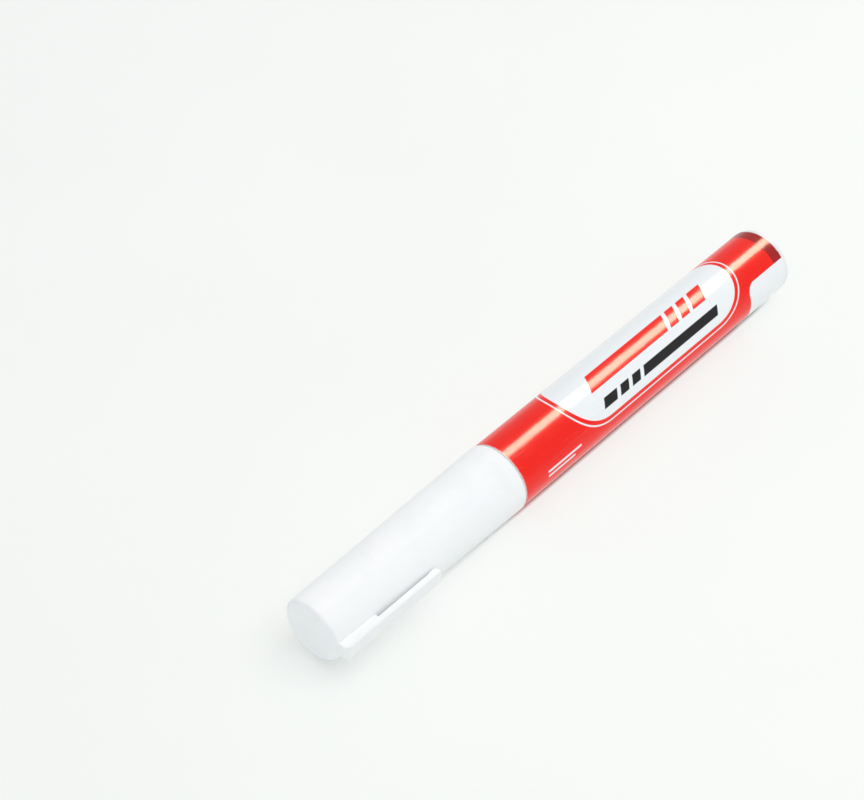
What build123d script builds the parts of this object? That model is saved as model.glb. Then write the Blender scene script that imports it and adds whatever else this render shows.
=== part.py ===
from build123d import *
import os
from math import cos, pi, sin

# A correction pen lying on its side, capped. +X points to the cap's closed end, +Z is up
# and the clip stands out towards +Y. The origin is on the surface that the pen lies on,
# below the middle of its box. All sizes are in millimetres.

# Fits
press_clearance = 0.03  # radial gap between round faces that are pressed or glued together
slide_clearance = 0.1  # radial gap between round faces that slide along each other
contact_gap = 0.03  # gap between end faces that push on each other
cut_overrun = 1.0  # how far a cutting shape runs past what it cuts

# Barrel and its printed label
barrel_radius = 7.4
barrel_wall = 1.2
barrel_length = 85.2
barrel_lead_in = 0.2
label_thickness = 0.07
label_margin = 0.2  # bare barrel beyond each end of the label

# Tail plug
tail_flange = 1.0
tail_edge_round = 0.6
tail_skirt_length = 8.0
tail_skirt_wall = 1.2
tail_skirt_relief = 0.25
tail_bead_width = 1.0
tail_bead_places_shares = (0.25, 0.7)

# Front section, from the barrel's mouth forwards
section_plug_length = 12.0
section_wall = 1.6
section_lead_in = 0.5
section_flange = 0.9
section_seat_step = 0.2
section_seat_length = 12.0
section_shoulder = 0.6
section_cone_length = 9.4
section_cone_step = 0.3
section_nose_length = 12.0
section_nose_taper = 3.0
section_nose_lip = 0.9
section_nose_wall = 1.6
snap_bead_height = 0.1
snap_bead_width = 1.0
snap_bead_place_share = 0.58  # of the seat's length
seal_bead_height = 0.1
seal_bead_width = 1.2
seal_bead_place_share = 0.5  # of the nose's length
flute_count = 6
flute_radius = 0.45
flute_stop = 5.0  # plain bore ahead of the flutes

# Nib
nib_length = 30.0
nib_exposed = 7.5
nib_bullet_length = 5.0
nib_chamfer = 0.4
press_travel = 2.0

# Valve
plenum_step = 0.6
plenum_spare = 1.5
seat_length = 5.0
stem_share = 0.4138  # of the head's radius
stem_flow_gap = 0.55
stem_chamfer = 0.25
valve_gap = 0.06  # along the axis, between the closed cones
head_inset = 0.35
head_share = 0.8192  # of the cage's bore; the rest is left for the flow
head_thickness = 1.5
guide_radius = 1.0
guide_tail = 0.3
cage_wall = 1.0
cage_floor = 1.2
cage_flange_gap = 0.6
flow_hole_count = 4
flow_hole_radius = 0.6
spring_wire = 0.5
spring_guide_gap = 0.5
spring_turns = 7
flat_turns = 0.25  # at each end
bend_turns = 0.25  # from flat to the full pitch
spring_steps = 400  # points on which the gap between turns is measured

# Mixing ball
ball_radius = 3.0
ball_gap = 0.15
ball_place_share = 0.25  # of its free run, from the tail

# Cap
cap_gap = 0.15  # parting line between barrel and cap
cap_step = 0.15  # the cap's mouth stands proud of the label
cap_taper = 0.81  # loss of radius from mouth to closed end
cap_wall = 1.0
cap_core_wall = 1.1
cap_end_wall = 1.6
cap_edge_round = 1.2
cap_mouth_round = 0.3
cap_seat_spare = 0.65
cap_bead_height = 0.1
cap_bead_width = 1.0
cap_bead_place_share = 0.4  # of the depth of the cap's seat
rib_count = 6
rib_width = 0.8
liner_side_gap = 0.74  # least gap from the liner to the cap's wall
liner_wall = 0.8
liner_overlap = 8.5  # length of nose inside the liner
liner_flare = 0.4
liner_nose_gap = 0.2
nib_room = 7.85  # free space ahead of the nib

# Clip, from the cap's closed end backwards
clip_stand = 1.15  # beyond the cap's mouth
clip_width = 3.4
clip_thickness = 1.25
clip_setback = 0.6
clip_root_length = 9.4
clip_slot_length = 13.0
clip_tip_length = 2.8
clip_bump_gap = 0.15
clip_bump_ramp = 1.2
clip_tip_lead = 0.5
clip_brow_round = 1.2
clip_edge_round = 0.35

# Radii that follow from the sizes above
barrel_bore = barrel_radius - barrel_wall
label_inner = barrel_radius + press_clearance
label_radius = label_inner + label_thickness
tail_skirt_radius = barrel_bore - tail_skirt_relief
tail_bead_radius = barrel_bore - press_clearance
section_plug_radius = barrel_bore - press_clearance
chamber_radius = section_plug_radius - section_wall
insert_radius = chamber_radius - press_clearance
cage_bore = insert_radius - cage_wall
head_radius = head_share * cage_bore
seat_cone_radius = head_radius + head_inset
stem_radius = stem_share * head_radius
seat_hole_radius = stem_radius + stem_flow_gap
cage_flange_radius = barrel_bore - cage_flange_gap
guide_hole_radius = guide_radius + slide_clearance
spring_radius = guide_radius + spring_guide_gap + spring_wire / 2
spring_outer = spring_radius + spring_wire / 2
flow_hole_pitch = (spring_outer + cage_bore) / 2
cap_mouth_radius = label_radius + cap_step
cap_end_radius = cap_mouth_radius - cap_taper
cap_bore = cap_mouth_radius - cap_wall
section_flange_radius = cap_bore - slide_clearance
section_seat_radius = section_flange_radius - section_seat_step
section_cone_radius = section_seat_radius - section_shoulder
liner_radius = cap_end_radius - cap_core_wall - liner_side_gap
liner_bore = liner_radius - liner_wall
section_nose_radius = liner_bore - liner_nose_gap
channel_radius = section_nose_radius - section_nose_wall
nib_radius = channel_radius - slide_clearance
plenum_radius = channel_radius + plenum_step
clip_reach = cap_mouth_radius + clip_stand
clip_inner = clip_reach - clip_thickness

# Lengths and places along the pen
section_front = section_seat_length + section_shoulder + section_cone_length + section_nose_length
cap_length = section_front + nib_exposed + nib_room + liner_wall + cap_end_wall - cap_gap
overall_length = tail_flange + barrel_length + cap_gap + cap_length
tail_x = -overall_length / 2
barrel_back_x = tail_x + tail_flange
mouth_x = barrel_back_x + barrel_length
cap_mouth_x = mouth_x + cap_gap
cap_end_x = cap_mouth_x + cap_length
cap_floor_x = cap_end_x - cap_end_wall
section_back_x = mouth_x - section_plug_length
section_flange_x = mouth_x + section_flange
section_seat_x = mouth_x + section_seat_length
section_cone_x = section_seat_x + section_shoulder
section_nose_x = section_cone_x + section_cone_length
nose_tip_x = section_nose_x + section_nose_length
nib_tip_x = nose_tip_x + nib_exposed
nib_back_x = nib_tip_x - nib_length
chamber_front_x = nib_back_x - press_travel - plenum_spare
plenum_front_x = nib_back_x - contact_gap
seat_back_x = chamber_front_x - seat_length
head_front_x = seat_back_x + seat_cone_radius - head_radius - valve_gap
head_back_x = head_front_x - head_thickness
cage_back_x = section_back_x - cage_floor
liner_mouth_x = nose_tip_x - liner_overlap
liner_floor_x = cap_floor_x - liner_wall
tail_skirt_x = barrel_back_x + tail_skirt_length

# The pen's axis lies above the surface by its largest radius, and aside from the middle of
# the box because of the clip
axis_height = cap_mouth_radius
axis_shift = (cap_mouth_radius - clip_reach) / 2
axis_point = (0, axis_shift, axis_height)
pen_axis = Axis(axis_point, (1, 0, 0))
half_section = Plane(origin=axis_point, x_dir=(1, 0, 0), z_dir=(0, -1, 0))
clip_plane = Plane(origin=axis_point, x_dir=(1, 0, 0), z_dir=(0, 0, 1))


def cross_section(x):
    return Plane(origin=(x, axis_shift, axis_height), x_dir=(0, 1, 0), z_dir=(1, 0, 0))


def spin(points):
    # Turns a closed outline of (place along the pen, radius) points into a round solid
    with BuildSketch(half_section) as outline:
        with BuildLine():
            Polyline(*points, close=True)
        make_face()
    revolve(outline.sketch, axis=pen_axis)


def bead(place, width, base_radius, top_radius):
    # The four points of a raised ring with sloping sides, along an outline
    slope = abs(top_radius - base_radius)
    half = width / 2
    return [
        (place - half - slope, base_radius),
        (place - half, top_radius),
        (place + half, top_radius),
        (place + half + slope, base_radius),
    ]


def cap_radius(x):
    return cap_mouth_radius - cap_taper * (x - cap_mouth_x) / cap_length


# Barrel tube, open at both ends
with BuildPart() as barrel_tube:
    spin(
        [
            (barrel_back_x, barrel_radius),
            (mouth_x, barrel_radius),
            (mouth_x, barrel_bore + barrel_lead_in),
            (mouth_x - barrel_lead_in, barrel_bore),
            (barrel_back_x + barrel_lead_in, barrel_bore),
            (barrel_back_x, barrel_bore + barrel_lead_in),
        ]
    )

# Label: a sleeve of film, closed all round
label_length = barrel_length - 2 * label_margin
with BuildPart() as label_wrap:
    with BuildSketch(cross_section(barrel_back_x + label_margin)):
        Circle(label_radius)
        Circle(label_inner, mode=Mode.SUBTRACT)
    extrude(amount=label_length)

# Tail plug: a flange on the barrel's end and a hollow skirt with two sealing beads
tail_cup_radius = tail_skirt_radius - tail_skirt_wall
tail_beads = []
for share in tail_bead_places_shares:
    place = barrel_back_x + share * tail_skirt_length
    tail_beads += bead(place, tail_bead_width, tail_skirt_radius, tail_bead_radius)
with BuildPart() as tail_plug:
    spin(
        [
            (tail_x, 0),
            (tail_x, barrel_radius),
            (barrel_back_x, barrel_radius),
            (barrel_back_x, tail_skirt_radius),
            *tail_beads,
            (tail_skirt_x, tail_skirt_radius),
            (tail_skirt_x, tail_cup_radius),
            (barrel_back_x + tail_skirt_wall, tail_cup_radius),
            (barrel_back_x + tail_skirt_wall, 0),
        ]
    )
    tail_rim = tail_plug.edges().filter_by(GeomType.CIRCLE).group_by(Axis.X)[0].sort_by(SortBy.RADIUS)[-1]
    fillet(tail_rim, tail_edge_round)

# Front section: plug in the barrel, seat for the cap, cone and nose, bored for valve and nib
snap_bead = bead(
    mouth_x + snap_bead_place_share * section_seat_length,
    snap_bead_width,
    section_seat_radius,
    section_seat_radius + snap_bead_height,
)
seal_bead = bead(
    section_nose_x + seal_bead_place_share * section_nose_length,
    seal_bead_width,
    section_nose_radius,
    section_nose_radius + seal_bead_height,
)
with BuildPart() as front_section:
    spin(
        [
            (section_back_x, chamber_radius),
            (section_back_x, section_plug_radius - section_lead_in),
            (section_back_x + section_lead_in, section_plug_radius),
            (mouth_x, section_plug_radius),
            (mouth_x, section_flange_radius),
            (section_flange_x, section_flange_radius),
            (section_flange_x, section_seat_radius),
            *snap_bead,
            (section_seat_x, section_seat_radius),
            (section_cone_x, section_cone_radius),
            (section_nose_x, section_nose_radius + section_cone_step),
            (section_nose_x, section_nose_radius),
            *seal_bead,
            (nose_tip_x - section_nose_taper, section_nose_radius),
            (nose_tip_x, channel_radius + section_nose_lip),
            (nose_tip_x, channel_radius),
            (plenum_front_x, channel_radius),
            (plenum_front_x, plenum_radius),
            (chamber_front_x, plenum_radius),
            (chamber_front_x, chamber_radius),
        ]
    )
    with BuildSketch(cross_section(plenum_front_x)):
        with PolarLocations(channel_radius, flute_count):
            Circle(flute_radius)
    extrude(amount=nose_tip_x - flute_stop - plenum_front_x, mode=Mode.SUBTRACT)

# Nib: a round fibre rod with a bullet end
nib_bullet_x = nib_tip_x - nib_bullet_length
with BuildPart() as nib:
    with BuildSketch(half_section):
        with BuildLine():
            Polyline(
                (nib_tip_x, 0),
                (nib_back_x, 0),
                (nib_back_x, nib_radius - nib_chamfer),
                (nib_back_x + nib_chamfer, nib_radius),
                (nib_bullet_x, nib_radius),
            )
            EllipticalCenterArc((nib_bullet_x, 0), nib_bullet_length, nib_radius, arc_size=90)
        make_face()
    revolve(axis=pen_axis)

# Valve seat: a bush with a conical mouth towards the barrel
with BuildPart() as valve_seat:
    spin(
        [
            (seat_back_x, seat_cone_radius),
            (seat_back_x, insert_radius),
            (chamber_front_x, insert_radius),
            (chamber_front_x, seat_hole_radius),
            (seat_back_x + seat_cone_radius - seat_hole_radius, seat_hole_radius),
        ]
    )

# Valve stem: push rod, conical head and guide pin
stem_front_x = nib_back_x - contact_gap
cone_front_x = head_front_x + head_radius - stem_radius
guide_back_x = cage_back_x - guide_tail
with BuildPart() as valve_stem:
    spin(
        [
            (guide_back_x, 0),
            (guide_back_x, guide_radius - stem_chamfer),
            (guide_back_x + stem_chamfer, guide_radius),
            (head_back_x, guide_radius),
            (head_back_x, head_radius),
            (head_front_x, head_radius),
            (cone_front_x, stem_radius),
            (stem_front_x - stem_chamfer, stem_radius),
            (stem_front_x, stem_radius - stem_chamfer),
            (stem_front_x, 0),
        ]
    )

# Valve cage: a cup with a flange behind the section, a guide hole and flow holes in its floor
with BuildPart() as valve_cage:
    spin(
        [
            (seat_back_x, cage_bore),
            (seat_back_x, insert_radius),
            (section_back_x, insert_radius),
            (section_back_x, cage_flange_radius),
            (cage_back_x, cage_flange_radius),
            (cage_back_x, guide_hole_radius),
            (section_back_x, guide_hole_radius),
            (section_back_x, cage_bore),
        ]
    )
    with BuildSketch(cross_section(cage_back_x)):
        with PolarLocations(flow_hole_pitch, flow_hole_count):
            Circle(flow_hole_radius)
    extrude(amount=cage_floor, mode=Mode.SUBTRACT)

# Valve spring: the first and last quarter turns lie flat, the next ones bend into the pitch
spring_back_x = section_back_x + contact_gap + spring_wire / 2
spring_front_x = head_back_x - contact_gap - spring_wire / 2
spring_pitch = (spring_front_x - spring_back_x) / (spring_turns - 2 * flat_turns - bend_turns)


def spring_climb(turn):
    # Turns' worth of full pitch climbed from one end, up to the middle of the spring
    bent = min(max(turn - flat_turns, 0), bend_turns)
    full = max(turn - flat_turns - bend_turns, 0)
    return bent * bent / (2 * bend_turns) + full


def spring_slope(turn):
    nearest = min(turn, spring_turns - turn)
    return min(max((nearest - flat_turns) / bend_turns, 0), 1)


def spring_point(turn):
    angle = 2 * pi * turn
    if turn <= spring_turns / 2:
        x = spring_back_x + spring_pitch * spring_climb(turn)
    else:
        x = spring_front_x - spring_pitch * spring_climb(spring_turns - turn)
    return Vector(x, axis_shift + spring_radius * cos(angle), axis_height + spring_radius * sin(angle))


def spring_heading(turn):
    angle = 2 * pi * turn
    round_rate = 2 * pi * spring_radius
    climb_rate = spring_pitch * spring_slope(turn)
    return Vector(climb_rate, -round_rate * sin(angle), round_rate * cos(angle)).normalized()


def biarc(start, start_heading, end, end_heading):
    # Two arcs of equal arms that leave and arrive along the given headings
    gap = end - start
    both = start_heading + end_heading
    across = both.dot(both) - 4
    along = gap.dot(both)
    arm = (along - (along * along - across * gap.dot(gap)) ** (1 / 2)) / across
    first_corner = start + start_heading * arm
    second_corner = end - end_heading * arm
    middle = (first_corner + second_corner) / 2
    TangentArc(start, middle, tangent=start_heading)
    TangentArc(middle, end, tangent=second_corner - first_corner)


quarter_turns = [quarter / 4 for quarter in range(4 * spring_turns + 1)]
with BuildPart() as valve_spring:
    with BuildLine() as coil:
        for turn, next_turn in zip(quarter_turns, quarter_turns[1:]):
            biarc(
                spring_point(turn), spring_heading(turn), spring_point(next_turn), spring_heading(next_turn)
            )
    with BuildSketch(Plane(origin=spring_point(0), z_dir=spring_heading(0))):
        Circle(spring_wire / 2)
    sweep(path=coil.wire())

coil_points = [spring_point(spring_turns * step / spring_steps) for step in range(spring_steps + 1)]
half_turn_steps = round(spring_steps / spring_turns / 2)
least_spacing = min(
    (coil_points[later] - coil_points[earlier]).length
    for earlier in range(len(coil_points))
    for later in range(earlier + half_turn_steps, len(coil_points))
)
print("least gap between the spring's turns", round(least_spacing - spring_wire, 3), "mm")

# Mixing ball, loose in the barrel between the tail plug and the pressed valve stem
ball_low = barrel_bore - ball_radius - ball_gap
ball_back_x = tail_skirt_x + ball_gap + ball_radius
ball_front_x = guide_back_x - press_travel - ball_gap - ball_radius
ball_x = ball_back_x + ball_place_share * (ball_front_x - ball_back_x)
with BuildPart() as mixing_ball:
    with Locations((ball_x, axis_shift, axis_height - ball_low)):
        Sphere(ball_radius)
print("ball travel", round(ball_back_x - ball_x, 3), round(ball_front_x - ball_x, 3), "mm")

# The cap's hollow, with ribs left standing that hold the liner
cap_seat_x = section_seat_x + cap_seat_spare
cap_bead_x = cap_mouth_x + cap_bead_place_share * (cap_seat_x - cap_mouth_x)
cap_bead = bead(cap_bead_x, cap_bead_width, cap_bore, cap_bore - cap_bead_height)
rib_inner = liner_radius + press_clearance
rib_height = cap_bore - rib_inner
with BuildPart() as cap_hollow:
    spin(
        [
            (cap_mouth_x - cut_overrun, 0),
            (cap_mouth_x - cut_overrun, cap_bore),
            *cap_bead,
            (cap_seat_x, cap_bore),
            (cap_seat_x, cap_radius(cap_seat_x) - cap_core_wall),
            (cap_floor_x, cap_radius(cap_floor_x) - cap_core_wall),
            (cap_floor_x, 0),
        ]
    )
    with BuildSketch(cross_section(liner_mouth_x)):
        with PolarLocations(rib_inner + rib_height / 2, rib_count):
            Rectangle(rib_height, rib_width)
    extrude(amount=cap_floor_x - liner_mouth_x, mode=Mode.SUBTRACT)

# The cap's clip, seen from above: root, arm and a bump that closes on the cap
clip_front_x = cap_end_x - clip_setback
clip_root_x = clip_front_x - clip_root_length
clip_bump_x = clip_root_x - clip_slot_length
clip_tip_x = clip_bump_x - clip_tip_length
clip_embed = cap_radius(clip_front_x) - cap_core_wall / 2
clip_bump = cap_radius(clip_tip_x) + clip_bump_gap
with BuildPart() as cap_clip:
    with BuildSketch(clip_plane) as clip_side:
        with BuildLine():
            Polyline(
                (clip_front_x, clip_embed),
                (clip_front_x, clip_reach),
                (clip_tip_x, clip_reach),
                (clip_tip_x, clip_bump + clip_tip_lead),
                (clip_tip_x + clip_tip_lead, clip_bump),
                (clip_bump_x - clip_bump_ramp, clip_bump),
                (clip_bump_x, clip_inner),
                (clip_root_x, clip_inner),
                (clip_root_x, clip_embed),
                close=True,
            )
        make_face()
        clip_brow = clip_side.vertices().group_by(Axis.Y)[-1].sort_by(Axis.X)[-1]
        fillet(clip_brow, clip_brow_round)
    extrude(amount=clip_width / 2, both=True)
    clip_back = cap_clip.faces().sort_by(Axis.Y)[-1]
    fillet(clip_back.edges().filter_by(Axis.X), clip_edge_round)

# Cap shell: tapered body with its clip, hollowed out
with BuildPart() as cap_shell:
    spin(
        [
            (cap_mouth_x, 0),
            (cap_mouth_x, cap_mouth_radius),
            (cap_end_x, cap_end_radius),
            (cap_end_x, 0),
        ]
    )
    fillet(cap_shell.edges().filter_by(GeomType.CIRCLE).group_by(Axis.X)[-1], cap_edge_round)
    fillet(cap_shell.edges().filter_by(GeomType.CIRCLE).group_by(Axis.X)[0], cap_mouth_round)
    add(cap_clip.part)
    add(cap_hollow.part, mode=Mode.SUBTRACT)

# Cap liner: a thin cup pushed to the cap's floor, flared at its mouth
with BuildPart() as cap_liner:
    spin(
        [
            (liner_mouth_x, liner_bore + liner_flare),
            (liner_mouth_x, liner_radius),
            (cap_floor_x, liner_radius),
            (cap_floor_x, 0),
            (liner_floor_x, 0),
            (liner_floor_x, liner_bore),
            (liner_mouth_x + liner_flare, liner_bore),
        ]
    )

pieces = {
    "barrel_tube": barrel_tube,
    "label_wrap": label_wrap,
    "tail_plug": tail_plug,
    "front_section": front_section,
    "nib": nib,
    "valve_seat": valve_seat,
    "valve_stem": valve_stem,
    "valve_cage": valve_cage,
    "valve_spring": valve_spring,
    "mixing_ball": mixing_ball,
    "cap_shell": cap_shell,
    "cap_liner": cap_liner,
}
os.makedirs("parts", exist_ok=True)
for name, piece in pieces.items():
    piece.part.label = name
    export_step(piece.part, f"parts/{name}.step")
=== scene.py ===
import math

import bpy
from mathutils import Matrix, Vector


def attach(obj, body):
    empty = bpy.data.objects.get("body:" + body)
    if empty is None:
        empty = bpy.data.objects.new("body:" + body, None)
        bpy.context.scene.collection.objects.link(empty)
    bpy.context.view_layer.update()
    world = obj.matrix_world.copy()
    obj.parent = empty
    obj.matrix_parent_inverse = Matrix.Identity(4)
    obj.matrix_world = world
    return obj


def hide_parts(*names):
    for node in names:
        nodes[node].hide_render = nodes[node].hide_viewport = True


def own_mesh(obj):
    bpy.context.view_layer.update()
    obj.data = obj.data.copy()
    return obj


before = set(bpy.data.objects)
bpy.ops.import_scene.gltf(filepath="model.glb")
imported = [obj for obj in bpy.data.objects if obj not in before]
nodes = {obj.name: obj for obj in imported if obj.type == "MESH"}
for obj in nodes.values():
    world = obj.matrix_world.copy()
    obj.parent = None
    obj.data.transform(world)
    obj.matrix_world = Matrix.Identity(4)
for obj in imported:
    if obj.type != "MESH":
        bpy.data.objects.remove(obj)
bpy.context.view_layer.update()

print("frame loaded:", len(nodes), "nodes")


# small helpers for building node trees
def addNode(tree, kind, **settings):
    node = tree.nodes.new(kind)
    for name, value in settings.items():
        setattr(node, name, value)
    return node


def feed(tree, socket, value):  # a socket is linked, anything else is set
    if isinstance(value, bpy.types.NodeSocket):
        tree.links.new(value, socket)
    else:
        socket.default_value = value


def feedNamed(tree, node, values):
    for name, value in values.items():
        feed(tree, node.inputs[name], value)


def calc(tree, operation, *values):
    node = addNode(tree, "ShaderNodeMath", operation=operation)
    for socket, value in zip(node.inputs, values):
        feed(tree, socket, value)
    return node.outputs["Value"]


def chain(tree, operation, values):  # one operation over any number of values
    result, *others = values
    for value in others:
        result = calc(tree, operation, result, value)
    return result


def total(tree, *values):
    return chain(tree, "ADD", values)


def product(tree, *values):
    return chain(tree, "MULTIPLY", values)


def nearest(tree, *distances):
    return chain(tree, "MINIMUM", distances)


def minus(tree, first, second):
    return calc(tree, "SUBTRACT", first, second)


def apart(tree, first, second):  # the gap between two values, whichever is larger
    return calc(tree, "ABSOLUTE", minus(tree, first, second))


def beyond(tree, value, limit):  # how far a value is past a limit
    return calc(tree, "MAXIMUM", minus(tree, value, limit), 0.0)


def span(tree, value, low, high):  # signed distance to the stretch between two values
    return minus(tree, apart(tree, value, (low + high) / 2), (high - low) / 2)


def weigh(tree, values, weights):  # sum of values, each times its weight
    return total(tree, *(product(tree, value, weight) for value, weight in zip(values, weights)))


def root(tree, first, second):  # length of a step with two sides
    return calc(tree, "SQRT", total(tree, product(tree, first, first), product(tree, second, second)))


def ramp(tree, value, start, end, low=0.0, high=1.0):  # smooth and clamped
    node = addNode(tree, "ShaderNodeMapRange", interpolation_type="SMOOTHSTEP", clamp=True)
    feedNamed(tree, node, {"Value": value, "From Min": start, "From Max": end, "To Min": low, "To Max": high})
    return node.outputs["Result"]


def fall(tree, value, start, end, high=1.0):  # a ramp down to zero
    return ramp(tree, value, start, end, high, 0.0)


mixSocket = {"first": 6, "second": 7, "result": 2}  # places of the colours on a Mix node


def blend(tree, factor, first, second):
    node = addNode(tree, "ShaderNodeMix", data_type="RGBA", clamp_factor=True)
    feed(tree, node.inputs["Factor"], factor)
    feed(tree, node.inputs[mixSocket["first"]], first)
    feed(tree, node.inputs[mixSocket["second"]], second)
    return node.outputs[mixSocket["result"]]


def noise(tree, place, scale, detail=3.0, rough=0.55, distortion=0.0):
    node = addNode(tree, "ShaderNodeTexNoise", noise_dimensions="3D", normalize=True)
    feedNamed(tree, node, {
        "Vector": place, "Scale": scale, "Detail": detail, "Roughness": rough, "Distortion": distortion})
    return node.outputs["Fac"]


def stretch(tree, place, factors):
    node = addNode(tree, "ShaderNodeVectorMath", operation="MULTIPLY")
    feed(tree, node.inputs[0], place)
    feed(tree, node.inputs[1], factors)
    return node.outputs["Vector"]


def newGroup(name, inputs, outputs):  # sockets as {name: kind}
    tree = bpy.data.node_groups.new(name, "ShaderNodeTree")
    for side, sockets in (("INPUT", inputs), ("OUTPUT", outputs)):
        for label, kind in sockets.items():
            tree.interface.new_socket(name=label, in_out=side, socket_type="NodeSocket" + kind)
    return tree, addNode(tree, "NodeGroupInput").outputs, addNode(tree, "NodeGroupOutput")


def useGroup(tree, group, values):
    node = addNode(tree, "ShaderNodeGroup", node_tree=group)
    feedNamed(tree, node, values)
    return node.outputs


def colour(red, green, blue):  # 0-255 as on a screen, to the linear values that nodes take
    def linear(value):
        value /= 255
        return value / 12.92 if value <= 0.04045 else ((value + 0.055) / 1.055) ** 2.4
    return linear(red), linear(green), linear(blue), 1.0


# effects that several finishes share; places are in mm from the pen's axis
penAxis = {"y": -0.575, "z": 7.65}  # mm, it runs along X
perMetre = 1000.0  # mm
noiseMiddle = 0.5  # a noise's values lie about it


def makePenPlace():
    tree, given, out = newGroup(
        "penPlace",
        {"Position": "Vector"},
        {"Place": "Vector", "Along": "Float", "Around": "Float", "Radius": "Float", "Side": "Float",
         "Rise": "Float"},
    )
    place = addNode(tree, "ShaderNodeVectorMath", operation="MULTIPLY_ADD")
    feed(tree, place.inputs[0], given["Position"])
    feed(tree, place.inputs[1], (perMetre, perMetre, perMetre))
    feed(tree, place.inputs[2], (0.0, -penAxis["y"], -penAxis["z"]))
    parts = addNode(tree, "ShaderNodeSeparateXYZ")
    feed(tree, parts.inputs[0], place.outputs["Vector"])
    side, rise = parts.outputs["Y"], parts.outputs["Z"]
    feedNamed(tree, out, {
        "Place": place.outputs["Vector"], "Along": parts.outputs["X"], "Side": side, "Rise": rise,
        "Around": calc(tree, "DEGREES", calc(tree, "ARCTAN2", rise, side)), "Radius": root(tree, side, rise)})
    return tree


# cloudy tone, drawn-out flow marks and fine grain of moulded plastic
skinLook = {
    "cloud": {"scale": 0.11, "detail": 4.0}, "flowStretch": (0.05, 0.9, 0.9),
    "flow": {"scale": 0.8, "detail": 2.0, "distortion": 0.4}, "grain": {"detail": 2.0},
    "toneMix": (0.7, 0.3), "toneRange": (0.34, 0.68), "polishMix": (0.6, 0.4), "polishRange": (0.3, 0.7),
    "heightMix": (0.5, 0.35, 0.15),
}


def makeMouldedSkin(look):
    tree, given, out = newGroup(
        "mouldedSkin",
        {"Place": "Vector", "Base": "Color", "Shade": "Color", "Cloud": "Float", "Grain Scale": "Float",
         "Rough Low": "Float", "Rough High": "Float"},
        {"Color": "Color", "Roughness": "Float", "Height": "Float"},
    )
    place = given["Place"]
    cloud = noise(tree, place, **look["cloud"])
    flow = noise(tree, stretch(tree, place, look["flowStretch"]), **look["flow"])
    grain = noise(tree, place, given["Grain Scale"], **look["grain"])
    tone = ramp(tree, weigh(tree, (cloud, flow), look["toneMix"]), *look["toneRange"])
    polish = ramp(tree, weigh(tree, (flow, grain), look["polishMix"]), *look["polishRange"])
    spread = minus(tree, given["Rough High"], given["Rough Low"])
    feedNamed(tree, out, {
        "Color": blend(tree, product(tree, tone, given["Cloud"]), given["Base"], given["Shade"]),
        "Roughness": calc(tree, "MULTIPLY_ADD", polish, spread, given["Rough Low"]),
        "Height": weigh(tree, (grain, flow, cloud), look["heightMix"])})
    return tree


# long hair scratches in patches, and soft smudges
handlingLook = {
    "hairs": (
        {"stretch": (0.03, 1.0, 1.0), "scale": 1.1, "patchScale": 0.15},
        {"stretch": (0.02, 0.8, 1.2), "scale": 1.7, "patchScale": 0.21},
    ),
    "hairDetail": 0.0, "hairRange": (0.002, 0.009), "patchDetail": 2.0, "patchRange": (0.55, 0.65),
    "smudge": {"scale": 0.16, "detail": 5.0, "rough": 0.62, "distortion": 0.6}, "smudgeRange": (0.5, 0.74),
}


def makeHandling(look):
    tree, given, out = newGroup(
        "handling",
        {"Place": "Vector", "Density": "Float"},
        {"Scratch": "Float", "Smudge": "Float"},
    )
    place, density = given["Place"], given["Density"]
    hairs = []
    for hair in look["hairs"]:
        wave = noise(tree, stretch(tree, place, hair["stretch"]), hair["scale"], detail=look["hairDetail"])
        line = fall(tree, apart(tree, wave, noiseMiddle), *look["hairRange"])
        patch = noise(tree, place, hair["patchScale"], detail=look["patchDetail"])
        hairs.append(product(tree, line, ramp(tree, patch, *look["patchRange"])))
    smudge = ramp(tree, noise(tree, place, **look["smudge"]), *look["smudgeRange"])
    feedNamed(tree, out, {
        "Scratch": product(tree, chain(tree, "MAXIMUM", hairs), density),
        "Smudge": product(tree, smudge, density)})
    return tree


# uneven band of wear beside an edge, from the distance to it
edgeLook = {"patch": {"scale": 0.7, "detail": 4.0, "rough": 0.65}, "ragged": 2.2}


def makeEdgeRub(look):
    tree, given, out = newGroup(
        "edgeRub",
        {"Place": "Vector", "Distance": "Float", "Width": "Float"},
        {"Rub": "Float"},
    )
    patch = noise(tree, given["Place"], **look["patch"])
    ragged = product(tree, minus(tree, patch, noiseMiddle), given["Width"], look["ragged"])
    rub = fall(tree, total(tree, given["Distance"], ragged), 0.0, given["Width"])
    feedNamed(tree, out, {"Rub": rub})
    return tree


# tone and fine draw marks of bright steel
drawnLook = {
    "marks": {"detail": 5.0, "rough": 0.65, "distortion": 0.3}, "blotch": {"scale": 0.5, "detail": 3.0},
    "toneMix": (0.5, 0.5), "toneRange": (0.36, 0.66),
}


def makeDrawnSteel(look):
    tree, given, out = newGroup(
        "drawnSteel",
        {"Place": "Vector", "Bright": "Color", "Dull": "Color", "Mark Scale": "Float", "Rough Low": "Float",
         "Rough High": "Float"},
        {"Color": "Color", "Roughness": "Float", "Height": "Float"},
    )
    marks = noise(tree, given["Place"], given["Mark Scale"], **look["marks"])
    blotch = noise(tree, given["Place"], **look["blotch"])
    tone = ramp(tree, weigh(tree, (marks, blotch), look["toneMix"]), *look["toneRange"])
    spread = minus(tree, given["Rough High"], given["Rough Low"])
    feedNamed(tree, out, {
        "Color": blend(tree, tone, given["Bright"], given["Dull"]),
        "Roughness": calc(tree, "MULTIPLY_ADD", tone, spread, given["Rough Low"]),
        "Height": marks})
    return tree


penPlace = makePenPlace()
mouldedSkin = makeMouldedSkin(skinLook)
handling = makeHandling(handlingLook)
edgeRub = makeEdgeRub(edgeLook)
drawnSteel = makeDrawnSteel(drawnLook)
print("shared effects built")


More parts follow.
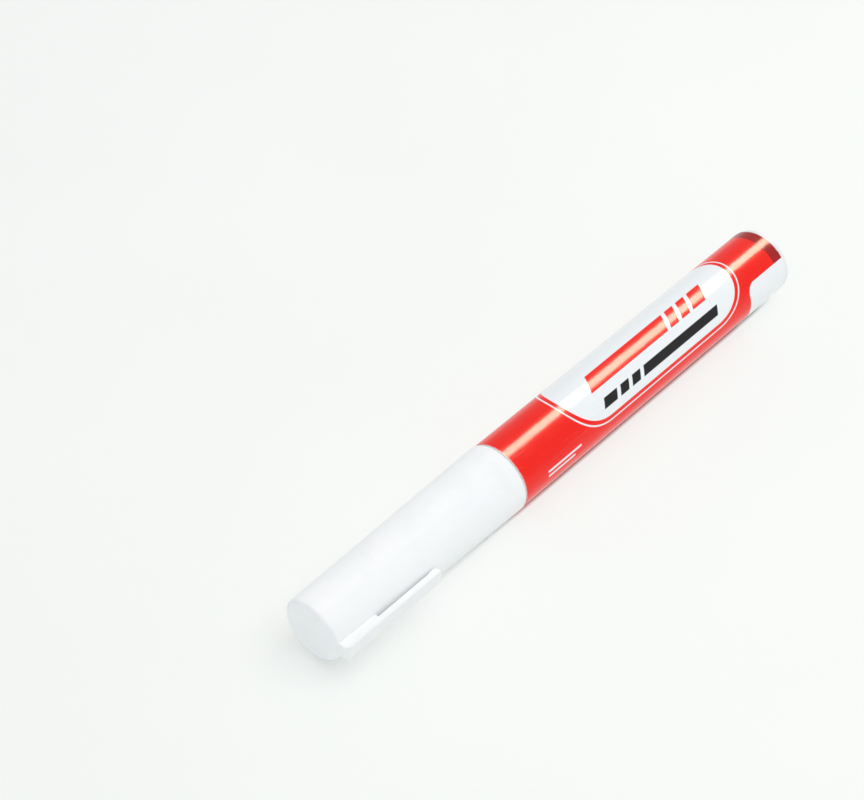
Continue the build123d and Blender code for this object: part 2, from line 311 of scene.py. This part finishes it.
# what every finish needs
def newFinish(name, fixed):
    material = bpy.data.materials.new(name)
    material.use_nodes = True
    tree = material.node_tree
    sockets = tree.nodes["Principled BSDF"].inputs
    for label, value in fixed.items():  # what is the same all over stays on the shader
        sockets[label].default_value = value
    position = addNode(tree, "ShaderNodeTexCoord").outputs["Object"]
    return material, tree, sockets, useGroup(tree, penPlace, {"Position": position})


def addBump(tree, sockets, height, look):  # the look's depth is in mm
    bump = addNode(tree, "ShaderNodeBump")
    feedNamed(tree, bump, {"Height": height, "Strength": look["bump"], "Distance": look["depth"] / perMetre})
    feed(tree, sockets["Normal"], bump.outputs["Normal"])


def dress(piece, material):
    for slot in piece.material_slots:
        slot.material = material


def rimDistance(tree, spot, rims):  # mm to the nearest of some round edges, given as (x, radius)
    return nearest(tree, *(root(tree, minus(tree, spot["Along"], x), minus(tree, spot["Radius"], radius))
                           for x, radius in rims))


def railDistance(tree, spot, side, rise):  # mm to two straight edges, above and below the middle
    height = calc(tree, "ABSOLUTE", spot["Rise"])
    return root(tree, minus(tree, spot["Side"], side), minus(tree, height, rise))


# how strongly wear shows on plastic
plasticWear = {
    "smudgeTint": 0.3, "scratchTint": 0.3, "rubTint": 0.5, "scratchRough": 0.15, "smudgeRough": 0.06,
    "rubPolish": 0.08, "scratchDepth": 0.5,
}


def plasticFinish(name, look, wear=plasticWear):
    material, tree, sockets, spot = newFinish(name, look["fixed"])
    place = spot["Place"]
    skin = useGroup(tree, mouldedSkin, {
        "Place": place, "Base": look["base"], "Shade": look["shade"], "Cloud": look["cloud"],
        "Grain Scale": look["grainScale"], "Rough Low": look["rough"][0], "Rough High": look["rough"][1]})
    worn = useGroup(tree, handling, {"Place": place, "Density": look["wear"]})
    edge = rimDistance(tree, spot, look["rims"])
    if "rail" in look:
        edge = nearest(tree, edge, railDistance(tree, spot, *look["rail"]))
    rub = useGroup(tree, edgeRub, {"Place": place, "Distance": edge, "Width": look["rubWidth"]})["Rub"]
    tint = blend(tree, product(tree, worn["Smudge"], wear["smudgeTint"]), skin["Color"], look["grime"])
    tint = blend(tree, product(tree, worn["Scratch"], wear["scratchTint"]), tint, look["grime"])
    tint = blend(tree, product(tree, rub, wear["rubTint"]), tint, look["rubbed"])
    feed(tree, sockets["Base Color"], tint)
    rough = total(tree, skin["Roughness"], product(tree, worn["Scratch"], wear["scratchRough"]),
                  product(tree, worn["Smudge"], wear["smudgeRough"]))
    feed(tree, sockets["Roughness"], minus(tree, rough, product(tree, rub, wear["rubPolish"])))
    height = minus(tree, skin["Height"], product(tree, worn["Scratch"], wear["scratchDepth"]))
    if "gate" in look:  # where the plastic ran in: a broken-off stub in a shallow dish
        gate, radius = look["gate"], spot["Radius"]
        hollow = fall(tree, radius, gate["dish"] - gate["dishEdge"], gate["dish"], gate["drop"])
        stub = fall(tree, radius, gate["stub"] - gate["stubEdge"], gate["stub"], gate["drop"])
        crumb = product(tree, stub, noise(tree, place, gate["crumbScale"]))
        height = total(tree, minus(tree, height, hollow), crumb)
    addBump(tree, sockets, height, look)
    return material


# white moulded pieces; rims and rail are the edges that hands rub, in mm
capLook = {
    "base": colour(249, 250, 251), "shade": colour(244, 247, 249), "cloud": 0.6, "grainScale": 5.5,
    "rough": (0.66, 0.78), "wear": 0.5, "grime": colour(228, 230, 228), "rubbed": colour(240, 241, 241),
    "rims": ((68.6, 6.5), (17.4, 7.62)), "rail": (8.7, 1.62), "rubWidth": 0.45, "bump": 0.25, "depth": 0.02,
    "fixed": {"IOR": 1.49, "Specular IOR Level": 0.13},
}
barrelLook = {
    "base": colour(239, 241, 241), "shade": colour(230, 233, 233), "cloud": 0.6, "grainScale": 7.0,
    "rough": (0.5, 0.62), "wear": 0.4, "grime": colour(219, 219, 214), "rubbed": colour(226, 227, 226),
    "rims": ((17.2, 7.4), (-67.9, 7.4)), "rubWidth": 0.3, "bump": 0.3, "depth": 0.02,
    "fixed": {"IOR": 1.49, "Specular IOR Level": 0.2},
}
plugLook = {
    "base": colour(240, 243, 245), "shade": colour(229, 233, 236), "cloud": 0.7, "grainScale": 6.0,
    "rough": (0.5, 0.62), "wear": 0.7, "grime": colour(216, 216, 211), "rubbed": colour(222, 224, 224),
    "rims": ((-68.8, 7.2),), "rubWidth": 0.5, "bump": 0.3, "depth": 0.02,
    "gate": {"stub": 0.6, "stubEdge": 0.12, "dish": 1.7, "dishEdge": 0.35, "drop": 16.0, "crumbScale": 3.0},
    "fixed": {"IOR": 1.5, "Specular IOR Level": 0.2},
}
sectionLook = {
    "base": colour(235, 236, 233), "shade": colour(225, 227, 223), "cloud": 0.7, "grainScale": 6.5,
    "rough": (0.5, 0.62), "wear": 0.6, "grime": colour(213, 213, 206), "rubbed": colour(222, 223, 219),
    "rims": ((18.125, 6.55), (29.2, 6.35), (39.2, 4.3), (51.2, 3.3)), "rubWidth": 0.4,
    "bump": 0.28, "depth": 0.02, "fixed": {"IOR": 1.49, "Specular IOR Level": 0.18},
}
linerLook = {
    "base": colour(232, 234, 228), "shade": colour(217, 220, 213), "cloud": 0.8, "grainScale": 4.0,
    "rough": (0.36, 0.52), "wear": 0.4, "grime": colour(206, 206, 198), "rubbed": colour(222, 224, 218),
    "rims": ((42.725, 4.8),), "rubWidth": 0.4, "bump": 0.3, "depth": 0.02,
    "fixed": {"IOR": 1.51},
}
valveLook = {
    "base": colour(236, 235, 226), "shade": colour(221, 220, 209), "cloud": 0.7, "grainScale": 8.0,
    "rough": (0.28, 0.42), "wear": 0.4, "grime": colour(206, 204, 193), "rubbed": colour(228, 227, 218),
    "rims": ((8.5, 2.9), (4.0, 5.6), (10.1, 2.9)), "rubWidth": 0.3, "bump": 0.3, "depth": 0.015,
    "fixed": {"IOR": 1.48},
}
for finish, look, names in (
    ("capPlastic", capLook, ("cap_shell",)),
    ("barrelPlastic", barrelLook, ("barrel_tube",)),
    ("plugPlastic", plugLook, ("tail_plug",)),
    ("sectionPlastic", sectionLook, ("front_section",)),
    ("linerPlastic", linerLook, ("cap_liner",)),
    ("valvePlastic", valveLook, ("valve_seat", "valve_stem", "valve_cage")),
):
    plastic = plasticFinish(finish, look)
    for name in names:
        dress(nodes[name], plastic)
print("plastics dressed")


# printed film on the barrel: mm along the pen, degrees from the clip's side upwards
labelLook = {
    "red": colour(250, 22, 3), "deepRed": colour(240, 14, 2), "edgeRed": colour(162, 20, 16),
    "white": colour(243, 246, 248), "coolWhite": colour(238, 243, 246), "black": colour(26, 23, 25),
    "radius": 7.5, "backX": -67.775, "frontX": 17.025, "edge": 0.07,
    "panelX": -27.0, "panelAngle": 92.0, "panelStraight": 17.5, "panelRound": 9.5, "keyline": (0.9, 1.25),
    "stripeEnd": 18.5, "slant": 0.55, "redStripe": (-3.4, 0.4), "blackStripe": (-7.6, -5.6),
    "redGaps": (-6.5, -10.2, -13.9), "blackGaps": (6.5, 10.2, 13.9), "gapHalf": 0.55,
    "rules": ((11.5, 0.5, 10.5), (3.0, 2.5, 10.5)), "ruleHalf": 0.25,  # angle, start, stop
    "blockLength": 12.4, "blockTop": 40.0, "blockDepth": 14.0, "blockCorner": 2.4,
    "bandWidth": 2.7, "bandOverrun": 1.0,
    "streakStretch": (0.06, 1.0, 1.0), "streaks": {"scale": 1.6, "detail": 3.0},
    "speck": {"scale": 9.0, "detail": 2.0}, "inkMix": (0.6, 0.4), "inkRange": (0.35, 0.7), "inkShare": 0.6,
    "seamAngle": -112.0, "seamHalf": 0.06, "seamShare": 0.7, "seamRise": (0.0, 0.12), "seamFade": (0.2, 5.0),
    "rough": (0.16, 0.22), "wear": 0.5, "rubWidth": 0.25, "rubTint": 0.35, "scratchTint": 0.08,
    "wearRough": (0.08, 0.2, 0.2),  # of smudges, scratches and rubbed ends
    "rippleStretch": (0.5, 1.0, 1.0), "ripple": {"scale": 0.3, "detail": 2.0},
    "heightMix": (0.9, 0.04, 3.0), "scratchDepth": 0.1, "bump": 0.1, "depth": 0.03,
    "fixed": {"IOR": 1.5, "Specular IOR Level": 0.36},
}
halfTurn, fullTurn = 180.0, 360.0


def labelFinish(look):
    material, tree, sockets, spot = newFinish("labelFilm", look["fixed"])
    place, along, around = spot["Place"], spot["Along"], spot["Around"]

    def across(angle):  # mm round the barrel from an angle, the short way
        shifted = calc(tree, "ADD", around, fullTurn + halfTurn - angle)
        turned = calc(tree, "FLOORED_MODULO", shifted, fullTurn)
        return product(tree, minus(tree, turned, halfTurn), look["radius"] * math.pi / halfTurn)

    def inside(distance):  # 1 where a distance is below zero, with a soft printed edge
        return fall(tree, distance, -look["edge"], look["edge"])

    # white panel with round ends and a fine line about it
    u = minus(tree, along, look["panelX"])
    v = across(look["panelAngle"])
    past = beyond(tree, calc(tree, "ABSOLUTE", u), look["panelStraight"])
    panelEdge = minus(tree, root(tree, past, v), look["panelRound"])
    panel = inside(panelEdge)
    keyline = inside(span(tree, panelEdge, *look["keyline"]))

    # two stripes with slanted ends and breaks
    def stripe(low, high, gaps):
        rise = minus(tree, v, (low + high) / 2)
        lean = calc(tree, "MULTIPLY_ADD", rise, look["slant"], u)
        length = span(tree, lean, -look["stripeEnd"], look["stripeEnd"])
        mask = inside(calc(tree, "MAXIMUM", span(tree, v, low, high), length))
        for gap in gaps:
            hole = inside(span(tree, lean, gap - look["gapHalf"], gap + look["gapHalf"]))
            mask = product(tree, mask, minus(tree, 1.0, hole))
        return mask

    redStripe = stripe(*look["redStripe"], look["redGaps"])
    blackStripe = stripe(*look["blackStripe"], look["blackGaps"])

    # two plain rules low on the flank, near the cap
    rules = []
    for angle, start, stop in look["rules"]:
        thick = span(tree, across(angle), -look["ruleHalf"], look["ruleHalf"])
        rules.append(inside(calc(tree, "MAXIMUM", thick, span(tree, along, start, stop))))

    # bare white block and dark band at the rear
    corner, half = look["blockCorner"], look["blockDepth"] / 2
    low = across(look["blockTop"] - math.degrees(half / look["radius"]))
    outX = beyond(tree, along, look["backX"] + look["blockLength"] - corner)
    outV = beyond(tree, calc(tree, "ABSOLUTE", low), half - corner)
    block = inside(minus(tree, root(tree, outX, outV), corner))
    bandEnds = look["backX"] - look["bandOverrun"], look["backX"] + look["bandWidth"]
    band = inside(span(tree, along, *bandEnds))

    # ink laid on unevenly, then the print in its order
    streaks = noise(tree, stretch(tree, place, look["streakStretch"]), **look["streaks"])
    speck = noise(tree, place, **look["speck"])
    ink = ramp(tree, weigh(tree, (streaks, speck), look["inkMix"]), *look["inkRange"])
    unevenness = product(tree, ink, look["inkShare"])
    redInk = blend(tree, unevenness, look["red"], look["deepRed"])
    paper = blend(tree, unevenness, look["white"], look["coolWhite"])
    tint = blend(tree, band, redInk, look["edgeRed"])
    for mask in (*rules, keyline, panel, block):
        tint = blend(tree, mask, tint, paper)
    tint = blend(tree, redStripe, tint, redInk)
    tint = blend(tree, blackStripe, tint, look["black"])

    # the film ends over itself on the underside: a fine dark line and a step that dies away
    lap = across(look["seamAngle"])
    seam = inside(span(tree, lap, -look["seamHalf"], look["seamHalf"]))
    step = product(tree, ramp(tree, lap, *look["seamRise"]), fall(tree, lap, *look["seamFade"]))
    tint = blend(tree, product(tree, seam, look["seamShare"]), tint, look["edgeRed"])

    # rubbed ends, scratches and finger marks
    ends = nearest(tree, *(apart(tree, along, x) for x in (look["backX"], look["frontX"])))
    rub = useGroup(tree, edgeRub, {"Place": place, "Distance": ends, "Width": look["rubWidth"]})["Rub"]
    worn = useGroup(tree, handling, {"Place": place, "Density": look["wear"]})
    tint = blend(tree, product(tree, rub, look["rubTint"]), tint, look["coolWhite"])
    tint = blend(tree, product(tree, worn["Scratch"], look["scratchTint"]), tint, look["white"])
    feed(tree, sockets["Base Color"], tint)
    shine = calc(tree, "MULTIPLY_ADD", ink, look["rough"][1] - look["rough"][0], look["rough"][0])
    dulled = (product(tree, mark, share)
              for mark, share in zip((worn["Smudge"], worn["Scratch"], rub), look["wearRough"]))
    feed(tree, sockets["Roughness"], total(tree, shine, *dulled))
    ripple = noise(tree, stretch(tree, place, look["rippleStretch"]), **look["ripple"])
    height = weigh(tree, (ripple, speck, step), look["heightMix"])
    cut = product(tree, worn["Scratch"], look["scratchDepth"])
    addBump(tree, sockets, minus(tree, height, cut), look)
    return material


dress(nodes["label_wrap"], labelFinish(labelLook))
print("label printed")


# fibre nib, wetted with white at its tip
nibLook = {
    "fibre": colour(236, 233, 222), "gap": colour(203, 197, 182), "wet": colour(245, 245, 243),
    "strandStretch": (0.06, 1.0, 1.0), "strands": {"scale": 7.0, "detail": 4.0, "rough": 0.6},
    "pores": {"scale": 11.0, "detail": 2.0}, "feltMix": (0.75, 0.25), "gapRange": (0.42, 0.62),
    "wetX": 52.7, "wetFade": 3.5, "wetScale": 1.1, "wetRagged": 2.4, "wetShare": 0.8,
    "roughDry": 0.85, "roughWet": 0.5, "gapRough": 0.1, "bump": 0.5, "depth": 0.05, "fixed": {"IOR": 1.45},
}


def nibFinish(look):
    material, tree, sockets, spot = newFinish("nibFibre", look["fixed"])
    place = spot["Place"]
    strands = noise(tree, stretch(tree, place, look["strandStretch"]), **look["strands"])
    pores = noise(tree, place, **look["pores"])
    felt = weigh(tree, (strands, pores), look["feltMix"])
    gaps = fall(tree, felt, *look["gapRange"])
    front = noise(tree, place, look["wetScale"])
    ragged = total(tree, spot["Along"], product(tree, front, look["wetRagged"]))
    wet = ramp(tree, ragged, look["wetX"], look["wetX"] + look["wetFade"])
    tint = blend(tree, gaps, look["fibre"], look["gap"])
    feed(tree, sockets["Base Color"], blend(tree, product(tree, wet, look["wetShare"]), tint, look["wet"]))
    dry = calc(tree, "MULTIPLY_ADD", gaps, look["gapRough"], look["roughDry"])
    drop = look["roughWet"] - look["roughDry"]
    feed(tree, sockets["Roughness"], calc(tree, "MULTIPLY_ADD", wet, drop, dry))
    addBump(tree, sockets, felt, look)
    return material


dress(nodes["nib"], nibFinish(nibLook))
print("nib dressed")


# bright steel of the valve spring and the mixing ball
springLook = {
    "bright": colour(205, 206, 208), "dull": colour(158, 160, 164), "markScale": 6.0, "rough": (0.2, 0.36),
    "bump": 0.2, "depth": 0.01, "fixed": {"Metallic": 1.0},
}
ballLook = {
    "bright": colour(214, 216, 219), "dull": colour(178, 181, 186), "markScale": 2.5, "rough": (0.08, 0.2),
    "bump": 0.1, "depth": 0.008, "fixed": {"Metallic": 1.0},
}


def steelFinish(name, look):
    material, tree, sockets, spot = newFinish(name, look["fixed"])
    steel = useGroup(tree, drawnSteel, {
        "Place": spot["Place"], "Bright": look["bright"], "Dull": look["dull"],
        "Mark Scale": look["markScale"], "Rough Low": look["rough"][0], "Rough High": look["rough"][1]})
    feed(tree, sockets["Base Color"], steel["Color"])
    feed(tree, sockets["Roughness"], steel["Roughness"])
    addBump(tree, sockets, steel["Height"], look)
    return material


# a copy of the valve spring's coil, dressed in steel and carried by the barrel
coilLook = {
    "name": "valveCoil", "body": "barrel", "slot": "spring_steel", "joint": "valve_open", "travel": 0.002,
}


def fitCoil(look, finish):
    coil = bpy.data.objects.new(look["name"], nodes["valve_spring"].data.copy())
    bpy.context.scene.collection.objects.link(coil)
    dress(coil, finish)
    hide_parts("valve_spring")
    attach(coil, look["body"])
    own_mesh(coil)


fitCoil(coilLook, steelFinish("springSteel", springLook))
dress(nodes["mixing_ball"], steelFinish("ballSteel", ballLook))
print("steel dressed")


# pale floor under the pen; each foot is where it fades at its sides, at the tail and at the front, in mm
floorLook = {
    "half": 4.0, "drop": 0.00002, "tone": colour(247, 250, 247), "faint": colour(245, 248, 245),
    "mottleScale": 0.012, "mottleRange": (0.35, 0.65),
    # the colour of a painted contact shadow along the barrel's foot, and where it fades
    "paintedShadow": colour(176, 176, 174), "paintedShadowFoot": ((3.6, 5.4), (-69.0, -60.0), (0.0, 24.0)),
    # the larger share of plain white beside the label is painted light over its red glow
    "white": colour(249, 251, 249), "whiteShare": 0.36, "paintedLightShare": 0.82, "beside": (14.0, 60.0),
    "labelX": (-67.8, 17.0), "foot": ((4.5, 5.4), (-70.0, -60.0), (14.0, 60.0)),
    "fixed": {"Roughness": 0.75, "Specular IOR Level": 0.15},
}


def layFloor(look):
    half = look["half"]
    corners = [(-half, -half, 0), (half, -half, 0), (half, half, 0), (-half, half, 0)]
    mesh = bpy.data.meshes.new("floor")
    mesh.from_pydata(corners, [], [(0, 1, 2, 3)])
    floor = bpy.data.objects.new("floor", mesh)
    floor.location.z = -look["drop"]
    bpy.context.scene.collection.objects.link(floor)
    material, tree, sockets, spot = newFinish("floorPaper", look["fixed"])
    along, side = spot["Along"], spot["Side"]

    def foot(sides, tail, front):  # 1 under the pen, dying away at its sides and towards its ends
        width = fall(tree, calc(tree, "ABSOLUTE", side), *sides)
        return product(tree, width, ramp(tree, along, *tail), fall(tree, along, *front))

    # an even paper with a painted contact shadow, darker where the barrel all but touches it
    mottle = ramp(tree, noise(tree, spot["Place"], look["mottleScale"]), *look["mottleRange"])
    paper = blend(tree, mottle, look["tone"], look["faint"])
    feed(tree, sockets["Base Color"], blend(tree, foot(*look["paintedShadowFoot"]), paper, look["paintedShadow"]))

    # beside the label more of the plain white is mixed in, painted light that covers the red glow and the
    # shadow there; at the pen's foot only its shadow is left
    toLabel = root(tree, calc(tree, "MAXIMUM", span(tree, along, *look["labelX"]), 0.0), side)
    beside = ramp(tree, toLabel, *look["beside"], look["paintedLightShare"], look["whiteShare"])
    share = product(tree, beside, minus(tree, 1.0, foot(*look["foot"])))
    paths = addNode(tree, "ShaderNodeLightPath").outputs
    seen = total(tree, paths["Is Camera Ray"], paths["Is Glossy Ray"], paths["Is Transmission Ray"])
    plain = addNode(tree, "ShaderNodeEmission")
    feed(tree, plain.inputs["Color"], look["white"])
    mixed = addNode(tree, "ShaderNodeMixShader")
    feed(tree, mixed.inputs["Fac"], product(tree, seen, share))
    feed(tree, mixed.inputs[1], tree.nodes["Principled BSDF"].outputs["BSDF"])
    feed(tree, mixed.inputs[2], plain.outputs["Emission"])
    feed(tree, tree.nodes["Material Output"].inputs["Surface"], mixed.outputs["Shader"])
    mesh.materials.append(material)


# light: a pale sky, a soft key from the clip's side and a strip that only draws the gloss
lightLook = {
    "horizon": (0.69, 0.70, 0.705, 1.0), "zenith": (0.67, 0.68, 0.685, 1.0), "climb": (0.0, 1.0),
    "capSide": (0.80, 0.83, 0.87, 1.0), "towardCap": (0.1, 1.0),
    "key": {"at": (-0.17, 0.19, 0.63), "size": (0.55, 0.55), "power": 1.58, "tint": (1.0, 1.0, 0.99)},
    "strip": {"at": (-0.36, -0.09, 0.74), "size": (1.6, 0.3), "power": 39.0, "tint": (1.0, 0.84, 0.62)},
}


def placeFacing(holder, at, right, up):  # looking along its own -Z
    turn = Matrix((right, up, right.cross(up))).transposed().to_4x4()
    holder.matrix_world = Matrix.Translation(at) @ turn


def hangLamp(name, look):
    lamp = bpy.data.lights.new(name, "AREA")
    lamp.shape = "RECTANGLE"
    lamp.size, lamp.size_y = look["size"]
    lamp.energy = look["power"]
    lamp.color = look["tint"]
    holder = bpy.data.objects.new(name, lamp)
    bpy.context.scene.collection.objects.link(holder)
    at = Vector(look["at"])
    aim = Vector((at.x, penAxis["y"] / perMetre, penAxis["z"] / perMetre)) - at  # straight across to the axis
    along = Vector((1, 0, 0))
    placeFacing(holder, at, along, along.cross(aim.normalized()))
    return holder


def setLight(look):
    world = bpy.data.worlds.new("studio")
    bpy.context.scene.world = world
    world.use_nodes = True
    tree = world.node_tree
    heading = addNode(tree, "ShaderNodeSeparateXYZ")
    feed(tree, heading.inputs[0], addNode(tree, "ShaderNodeTexCoord").outputs["Generated"])
    height = ramp(tree, heading.outputs["Z"], *look["climb"])
    sky = blend(tree, height, look["horizon"], look["zenith"])
    towardCap = ramp(tree, heading.outputs["X"], *look["towardCap"])
    feed(tree, tree.nodes["Background"].inputs["Color"], blend(tree, towardCap, sky, look["capSide"]))
    key = hangLamp("key", look["key"])
    key.visible_glossy = False
    strip = hangLamp("strip", look["strip"])
    strip.visible_diffuse = False


# camera where the photograph was taken from
viewLook = {
    "at": (0.23425, 0.18014, 0.31602), "right": (-0.67389, 0.73883, 0.0), "up": (-0.52674, -0.48045, 0.70122),
    "lens": 89.33, "sensor": 36.0, "clip": (0.01, 20.0),
}


def setCamera(look):
    eye = bpy.data.cameras.new("view")
    eye.lens, eye.sensor_width = look["lens"], look["sensor"]
    eye.clip_start, eye.clip_end = look["clip"]
    holder = bpy.data.objects.new("view", eye)
    bpy.context.scene.collection.objects.link(holder)
    placeFacing(holder, look["at"], Vector(look["right"]).normalized(), Vector(look["up"]).normalized())
    bpy.context.scene.camera = holder


layFloor(floorLook)
setLight(lightLook)
setCamera(viewLook)
bpy.context.scene.view_settings.view_transform = "Standard"
print("stage set")
